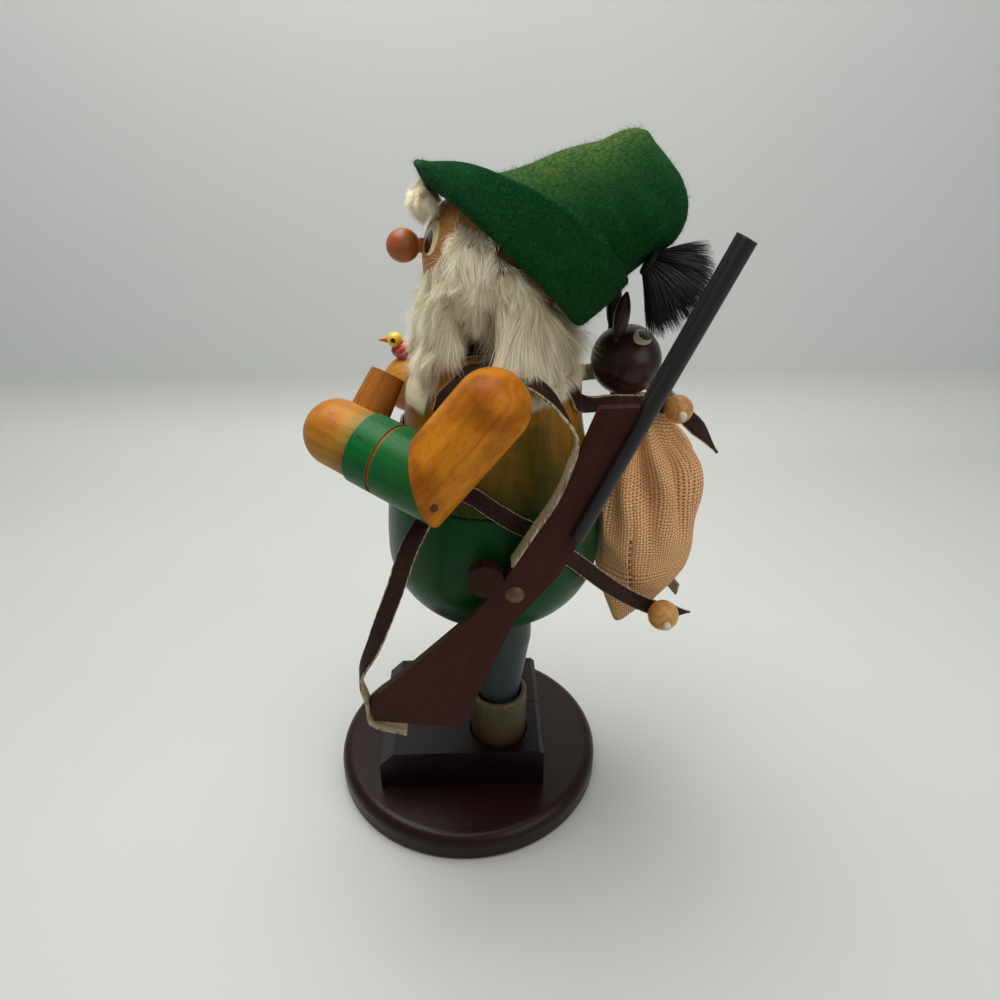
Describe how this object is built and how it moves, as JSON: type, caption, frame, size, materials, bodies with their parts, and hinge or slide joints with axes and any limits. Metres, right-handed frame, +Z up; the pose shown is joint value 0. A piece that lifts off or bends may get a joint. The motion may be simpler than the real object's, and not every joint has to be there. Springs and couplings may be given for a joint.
{
  "type": "incense smoker figure",
  "caption": "Turned wooden hunter with fur beard, felt hat, sack and rifle; its upper body lifts off a burner plate so that a cone smokes through the mouth.",
  "frame": {"origin": "middle of the base disc's underside", "axes": "+Z up; the figure faces -Y and its left side is +X"},
  "size_m": [0.1033, 0.1249, 0.2209],
  "materials": {
    "mahogany": "satin lacquer",
    "cuff_wood": "satin stain",
    "leg_wood": "satin stain",
    "green_wood": "gloss stain",
    "torso_wood": "gloss stain",
    "honey_wood": "gloss lacquer",
    "sleeve_wood": "satin stain",
    "skin_wood": "satin lacquer",
    "nose_wood": "gloss lacquer",
    "cup_wood": "satin",
    "bird_red": "gloss paint",
    "bird_yellow": "gloss paint",
    "beak_orange": "gloss paint",
    "felt": "fuzzy felt",
    "bristle": "stiff bristles",
    "fur": "long fur",
    "strap": "leatherette on cloth",
    "stock_wood": "matt stain",
    "barrel_black": "satin paint",
    "burlap": "open weave",
    "hare_brown": "satin paint",
    "plate_metal": "pressed sheet",
    "thread": "twisted thread"
  },
  "bodies": {
    "lower_half": {"base_disc": "mahogany", "shoe_left": "mahogany", "shoe_right": "mahogany", "boot_cuff_left": "cuff_wood", "boot_cuff_right": "cuff_wood", "leg_left": "leg_wood", "leg_right": "leg_wood", "lower_body": "green_wood", "burner_plate": "plate_metal"},
    "upper_half": {"torso": "torso_wood", "upper_arm_left": "honey_wood", "upper_arm_right": "honey_wood", "shoulder_dowel_left": "honey_wood", "shoulder_dowel_right": "honey_wood", "bead_lower": "honey_wood", "bead_upper": "honey_wood", "forearm_left": "sleeve_wood", "forearm_right": "sleeve_wood", "hand_left": "skin_wood", "hand_right": "skin_wood", "head": "skin_wood", "nose": "nose_wood", "cup": "cup_wood", "bird_body": "bird_red", "bird_head": "bird_yellow", "bird_beak": "beak_orange", "hat": "felt", "hat_brush": "bristle", "beard": "fur", "back_hair": "fur", "brow_tuft": "fur", "sling": "strap", "sack_strap_lower": "strap", "sack_strap_upper": "strap", "rifle_stock": "stock_wood", "trigger_guard": "stock_wood", "lock_pin": "stock_wood", "barrel_left": "barrel_black", "barrel_right": "barrel_black", "sack": "burlap", "hare_head": "hare_brown", "hare_ear_left": "hare_brown", "hare_ear_right": "hare_brown", "bead_thread_lower": "thread", "bead_thread_upper": "thread"}
  },
  "joints": [
    {"name": "body_lift", "type": "slide", "parent": "lower_half", "child": "upper_half", "axis": [0, 0, 1], "range_m": [0, 0.08]}
  ]
}
